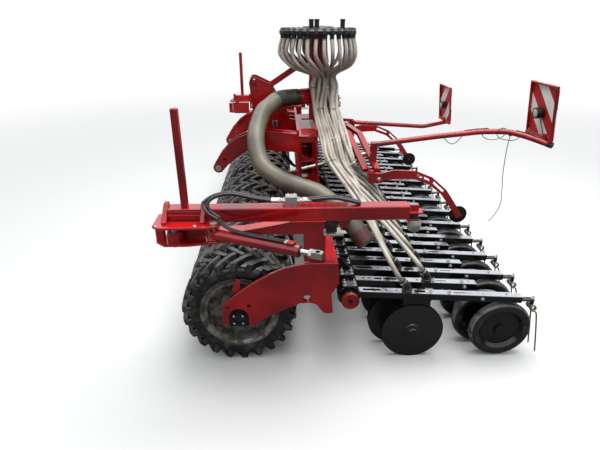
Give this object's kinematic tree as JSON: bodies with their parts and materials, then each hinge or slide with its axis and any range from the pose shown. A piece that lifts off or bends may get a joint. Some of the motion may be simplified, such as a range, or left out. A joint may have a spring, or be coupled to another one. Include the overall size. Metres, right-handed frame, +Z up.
{
  "type": "rigid mounted seed drill with folded side arms",
  "caption": "Three-point mounted seeding bar with tyre packer, disc openers, press wheels, hose tower and folded side arms.",
  "frame": {"origin": "on the ground under the middle of the outer box", "axes": "+X to the rear, +Y to the machine's right-hand side, +Z up"},
  "size_m": [2.783, 4.7906, 2.131],
  "materials": {
    "red_paint": "gloss",
    "black_paint": "gloss",
    "zinc": "satin",
    "rim_grey": "satin",
    "dark_steel": "worn",
    "tyre": "matte",
    "black_rubber": "matte",
    "seed_hose": "satin",
    "feed_hose": "satin",
    "black_plastic": "matte",
    "board_film": "satin"
  },
  "bodies": {
    "frame": {"main_beam": "red_paint", "side_plates": "red_paint", "axle_bearings": "black_paint", "centre_bearing": "red_paint", "headstock": "red_paint", "top_link_plates": "red_paint", "link_pins": "zinc", "tower_column": "red_paint", "riser_pipe": "red_paint", "distributor_head": "black_plastic", "outlets": "black_plastic", "seed_hoses_left": "seed_hose", "seed_hoses_right": "seed_hose", "feed_hose": "feed_hose", "coulter_beam": "black_paint", "beam_caps": "red_paint", "beam_clamps": "black_paint", "coulter_arms_long": "black_paint", "coulter_arms_short": "black_paint", "opener_posts": "black_paint", "wheel_forks": "black_paint", "seed_necks": "black_plastic", "harrow_tines": "dark_steel", "rear_carrier": "red_paint", "board_tubes": "red_paint", "warning_boards": "board_film", "board_lamps": "black_plastic", "lamp_cable": "black_rubber", "side_brackets": "red_paint", "pivot_pins": "zinc", "marker_brackets": "red_paint"},
    "packer_left": {"packer_tyres_left": "tyre", "packer_rims_left": "rim_grey", "packer_axle_left": "dark_steel"},
    "packer_right": {"packer_tyres_right": "tyre", "packer_rims_right": "rim_grey", "packer_axle_right": "dark_steel"},
    "discs_long": {"discs_long": "dark_steel"},
    "discs_short": {"discs_short": "dark_steel"},
    "press_wheels_long": {"press_tyres_long": "black_rubber", "press_hubs_long": "black_paint"},
    "press_wheels_short": {"press_tyres_short": "black_rubber", "press_hubs_short": "black_paint"},
    "side_arm_left": {"side_arm_left": "red_paint", "arm_buffers_left": "black_rubber", "arm_hoses_left": "black_rubber"},
    "side_arm_right": {"side_arm_right": "red_paint", "arm_buffers_right": "black_rubber", "arm_hoses_right": "black_rubber"},
    "barrel_left": {"barrel_left": "red_paint"},
    "barrel_right": {"barrel_right": "red_paint"},
    "rod_left": {"rod_left": "zinc"},
    "rod_right": {"rod_right": "zinc"},
    "marker_arm_left": {"marker_arm_left": "red_paint"},
    "marker_arm_right": {"marker_arm_right": "red_paint"},
    "marker_disc_left": {"marker_disc_left": "black_paint"},
    "marker_disc_right": {"marker_disc_right": "black_paint"}
  },
  "joints": [
    {"name": "packer_left_spin", "type": "hinge", "parent": "frame", "child": "packer_left", "pos_m": [-0.94852, -1, 0.38], "axis": [0, 1, 0], "continuous": true},
    {"name": "packer_right_spin", "type": "hinge", "parent": "frame", "child": "packer_right", "pos_m": [-0.94852, 1, 0.38], "axis": [0, 1, 0], "continuous": true},
    {"name": "discs_long_spin", "type": "hinge", "parent": "frame", "child": "discs_long", "pos_m": [0.21148, 0, 0.21], "axis": [0, 1, 0], "continuous": true},
    {"name": "discs_short_spin", "type": "hinge", "parent": "frame", "child": "discs_short", "pos_m": [0.14348, 0, 0.21], "axis": [0, 1, 0], "continuous": true},
    {"name": "press_wheels_long_spin", "type": "hinge", "parent": "frame", "child": "press_wheels_long", "pos_m": [0.81648, 0, 0.21], "axis": [0, 1, 0], "continuous": true},
    {"name": "press_wheels_short_spin", "type": "hinge", "parent": "frame", "child": "press_wheels_short", "pos_m": [0.74848, 0, 0.21], "axis": [0, 1, 0], "continuous": true},
    {"name": "side_arm_left_swing", "type": "hinge", "parent": "frame", "child": "side_arm_left", "pos_m": [-1.28152, -2.01, 1.086], "axis": [0, 0, -1], "range_deg": [0, 95]},
    {"name": "cylinder_left_swing", "type": "hinge", "parent": "side_arm_left", "child": "barrel_left", "pos_m": [-1.03652, -2.106, 1.04], "axis": [0, 0, -1], "range_deg": [-28, 35]},
    {"name": "cylinder_left_stroke", "type": "slide", "parent": "barrel_left", "child": "rod_left", "axis": [0.9063, -0.4226, 0], "range_m": [0, 0.34]},
    {"name": "side_arm_right_swing", "type": "hinge", "parent": "frame", "child": "side_arm_right", "pos_m": [-1.28152, 2.01, 1.086], "axis": [0, 0, 1], "range_deg": [0, 95]},
    {"name": "cylinder_right_swing", "type": "hinge", "parent": "side_arm_right", "child": "barrel_right", "pos_m": [-1.03652, 2.106, 1.04], "axis": [0, 0, 1], "range_deg": [-28, 35]},
    {"name": "cylinder_right_stroke", "type": "slide", "parent": "barrel_right", "child": "rod_right", "axis": [0.9063, 0.4226, 0], "range_m": [0, 0.34]},
    {"name": "marker_left_lift", "type": "hinge", "parent": "frame", "child": "marker_arm_left", "pos_m": [0.13348, -0.858, 0.936], "axis": [0, -1, 0], "range_deg": [0, 35]},
    {"name": "marker_left_spin", "type": "hinge", "parent": "marker_arm_left", "child": "marker_disc_left", "pos_m": [0.86348, -0.838, 0.585], "axis": [0, 1, 0], "continuous": true},
    {"name": "marker_right_lift", "type": "hinge", "parent": "frame", "child": "marker_arm_right", "pos_m": [0.13348, 0.858, 0.936], "axis": [0, -1, 0], "range_deg": [0, 35]},
    {"name": "marker_right_spin", "type": "hinge", "parent": "marker_arm_right", "child": "marker_disc_right", "pos_m": [0.86348, 0.838, 0.585], "axis": [0, 1, 0], "continuous": true}
  ]
}
